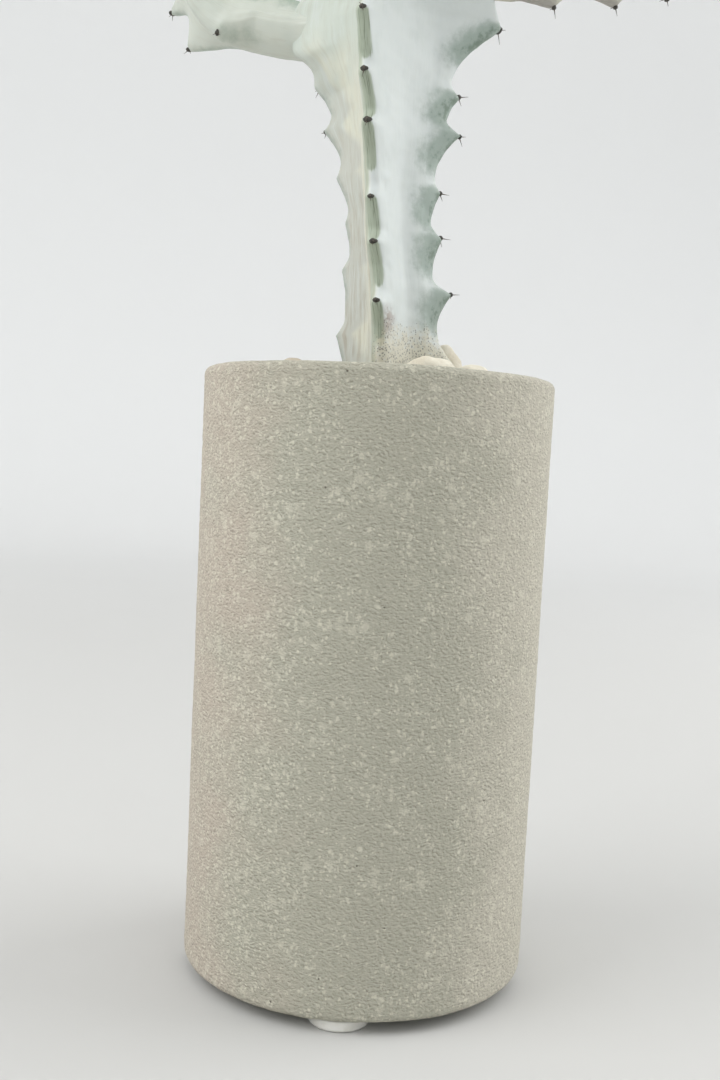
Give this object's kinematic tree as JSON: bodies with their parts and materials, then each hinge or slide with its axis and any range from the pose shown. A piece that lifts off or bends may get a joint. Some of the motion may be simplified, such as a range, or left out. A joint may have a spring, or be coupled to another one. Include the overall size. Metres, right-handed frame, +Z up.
{
  "type": "potted ghost euphorbia",
  "caption": "Pale three-ribbed candelabra succulent with toothed, upturned branches in a tall cylindrical speckled stoneware pot topped with pebbles.",
  "frame": {"origin": "on the floor, under the axis of the pot", "axes": "+Z up along the pot's axis; -Y towards the viewer; +X to the right, along the longer right branch"},
  "size_m": [0.1869, 0.0952, 0.3205],
  "materials": {
    "stoneware": "matte",
    "silicone_pad": "satin",
    "drain_mesh": "matte",
    "lava_rock": "matte",
    "soil_mix": "matte",
    "fine_gravel": "matte",
    "cream_stone": "matte",
    "grey_pebble": "matte",
    "trunk_skin": "satin",
    "branch_skin": "satin"
  },
  "bodies": {
    "root": {"branch_back": "branch_skin", "branch_front": "branch_skin", "branch_left": "branch_skin", "branch_left_fork": "branch_skin", "branch_right": "branch_skin", "branch_upper_right": "branch_skin", "drain_mesh": "drain_mesh", "drainage_layer": "lava_rock", "foot_pad_1": "silicone_pad", "foot_pad_2": "silicone_pad", "foot_pad_3": "silicone_pad", "foot_pad_4": "silicone_pad", "gravel_bed": "fine_gravel", "pebble_01": "grey_pebble", "pebble_02": "grey_pebble", "pebble_03": "grey_pebble", "pebble_04": "grey_pebble", "pebble_05": "grey_pebble", "pebble_06": "grey_pebble", "pebble_07": "grey_pebble", "pebble_08": "grey_pebble", "pebble_09": "grey_pebble", "pebble_10": "grey_pebble", "pebble_11": "grey_pebble", "pebble_12": "grey_pebble", "pebble_13": "grey_pebble", "pebble_14": "grey_pebble", "pebble_15": "grey_pebble", "pebble_16": "grey_pebble", "pebble_17": "grey_pebble", "pebble_18": "grey_pebble", "pebble_19": "grey_pebble", "pebble_20": "grey_pebble", "pebble_21": "grey_pebble", "pebble_22": "grey_pebble", "pebble_23": "grey_pebble", "pebble_24": "grey_pebble", "pebble_25": "grey_pebble", "pebble_26": "grey_pebble", "pebble_27": "grey_pebble", "pot": "stoneware", "potting_soil": "soil_mix", "stone_cream_chip": "cream_stone", "stone_cream_front": "cream_stone", "stone_cream_leaning": "cream_stone", "stone_grey_front": "grey_pebble", "trunk": "trunk_skin"}
  },
  "joints": []
}
